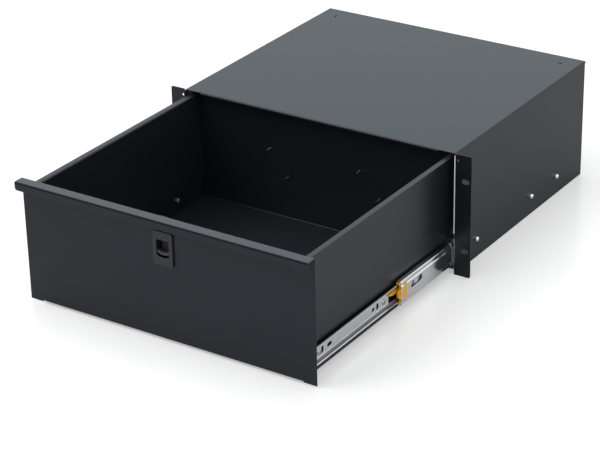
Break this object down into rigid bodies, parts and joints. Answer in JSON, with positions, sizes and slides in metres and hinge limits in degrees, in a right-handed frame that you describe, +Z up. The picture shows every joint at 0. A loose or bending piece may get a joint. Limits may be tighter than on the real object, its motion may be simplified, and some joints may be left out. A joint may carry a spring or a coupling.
{
  "type": "sliding rack drawer",
  "caption": "Rack-mount steel drawer on telescopic ball slides, pulled out of its sleeve, with ears, a pull lip and a recessed slam latch.",
  "frame": {"origin": "centre of the four rack slots, on the rear face of the ears, which seats on the rack's rails", "axes": "+X to the right seen from the front, +Y to the back into the rack, +Z up; the drawer is stored pulled out 346.5 mm"},
  "size_m": [0.4826, 0.7419, 0.177],
  "materials": {
    "cabinet_paint": "fine-textured charcoal powder coat, satin",
    "drawer_paint": "fine-textured black powder coat, satin",
    "slide_zinc": "bright zinc plate on cold-rolled steel, drawn lengthwise",
    "ball_steel": "polished steel",
    "cage_steel": "zinc-plated strip with a film of grease",
    "bumper_rubber": "matt black rubber",
    "orange_plastic": "moulded amber-orange acetal, slightly translucent",
    "screw_chrome": "bright nickel plate",
    "fastener_zinc": "zinc plate",
    "spring_steel": "drawn spring wire",
    "latch_black": "moulded black nylon, fine spark texture",
    "latch_zinc": "die-cast zinc"
  },
  "bodies": {
    "cabinet": {"cabinet_shell": "cabinet_paint", "rear_tie_bar": "cabinet_paint", "outer_slide_right": "slide_zinc", "outer_slide_left": "slide_zinc", "cabinet_slide_screws_right": "screw_chrome", "cabinet_slide_screws_left": "screw_chrome", "rear_bumper_right": "bumper_rubber", "rear_bumper_left": "bumper_rubber"},
    "drawer": {"drawer_front": "drawer_paint", "drawer_pan": "drawer_paint", "drawer_side_right": "drawer_paint", "drawer_side_left": "drawer_paint", "cable_knockouts": "drawer_paint", "inner_slide_right": "slide_zinc", "inner_slide_left": "slide_zinc", "drawer_slide_screws_right": "screw_chrome", "drawer_slide_screws_left": "screw_chrome", "drawer_slide_nuts_right": "fastener_zinc", "drawer_slide_nuts_left": "fastener_zinc", "front_studs": "fastener_zinc", "front_nuts": "fastener_zinc", "latch_housing": "latch_black", "latch_back_plate": "latch_black", "latch_screws": "fastener_zinc", "latch_spring": "spring_steel", "lever_rivet_right": "fastener_zinc", "lever_rivet_left": "fastener_zinc"},
    "latch": {"latch_bolt": "latch_zinc", "latch_trigger": "latch_black"},
    "outer_cage_right": {"outer_ball_cage_right": "cage_steel", "outer_balls_right": "ball_steel"},
    "middle_right": {"middle_slide_right": "slide_zinc", "end_clip_right": "orange_plastic"},
    "inner_cage_right": {"inner_ball_cage_right": "cage_steel", "inner_balls_right": "ball_steel"},
    "lever_right": {"release_lever_right": "orange_plastic"},
    "outer_cage_left": {"outer_ball_cage_left": "cage_steel", "outer_balls_left": "ball_steel"},
    "middle_left": {"middle_slide_left": "slide_zinc", "end_clip_left": "orange_plastic"},
    "inner_cage_left": {"inner_ball_cage_left": "cage_steel", "inner_balls_left": "ball_steel"},
    "lever_left": {"release_lever_left": "orange_plastic"}
  },
  "joints": [
    {"name": "drawer_slide", "type": "slide", "parent": "cabinet", "child": "drawer", "axis": [0, -1, 0], "range_m": [-0.3465, 0.0035]},
    {"name": "outer_cage_right_slide", "type": "slide", "parent": "cabinet", "child": "outer_cage_right", "axis": [0, -1, 0], "range_m": [-0.0868, 0.001]},
    {"name": "middle_right_slide", "type": "slide", "parent": "cabinet", "child": "middle_right", "axis": [0, -1, 0], "range_m": [-0.1734, 0.0019]},
    {"name": "inner_cage_right_slide", "type": "slide", "parent": "cabinet", "child": "inner_cage_right", "axis": [0, -1, 0], "range_m": [-0.26, 0.0028]},
    {"name": "outer_cage_left_slide", "type": "slide", "parent": "cabinet", "child": "outer_cage_left", "axis": [0, -1, 0], "range_m": [-0.0868, 0.001]},
    {"name": "middle_left_slide", "type": "slide", "parent": "cabinet", "child": "middle_left", "axis": [0, -1, 0], "range_m": [-0.1734, 0.0019]},
    {"name": "inner_cage_left_slide", "type": "slide", "parent": "cabinet", "child": "inner_cage_left", "axis": [0, -1, 0], "range_m": [-0.26, 0.0028]},
    {"name": "latch_slide", "type": "slide", "parent": "drawer", "child": "latch", "axis": [0, 0, -1], "range_m": [0, 0.005], "stiffness_N_per_m": 250, "springref_m": -0.004, "deforming": ["latch_spring"]},
    {"name": "lever_right_pivot", "type": "hinge", "parent": "drawer", "child": "lever_right", "pos_m": [0.2058, -0.121, -0.057], "axis": [1, 0, 0], "range_deg": [0, 7], "stiffness_Nm_per_rad": 0.05},
    {"name": "lever_left_pivot", "type": "hinge", "parent": "drawer", "child": "lever_left", "pos_m": [-0.2058, -0.121, -0.057], "axis": [1, 0, 0], "range_deg": [0, 7], "stiffness_Nm_per_rad": 0.05}
  ],
  "couplings": [
    {"joint": "outer_cage_right_slide", "follows": "drawer_slide", "ratio": 0.25},
    {"joint": "middle_right_slide", "follows": "drawer_slide", "ratio": 0.5},
    {"joint": "inner_cage_right_slide", "follows": "drawer_slide", "ratio": 0.75},
    {"joint": "outer_cage_left_slide", "follows": "drawer_slide", "ratio": 0.25},
    {"joint": "middle_left_slide", "follows": "drawer_slide", "ratio": 0.5},
    {"joint": "inner_cage_left_slide", "follows": "drawer_slide", "ratio": 0.75}
  ]
}
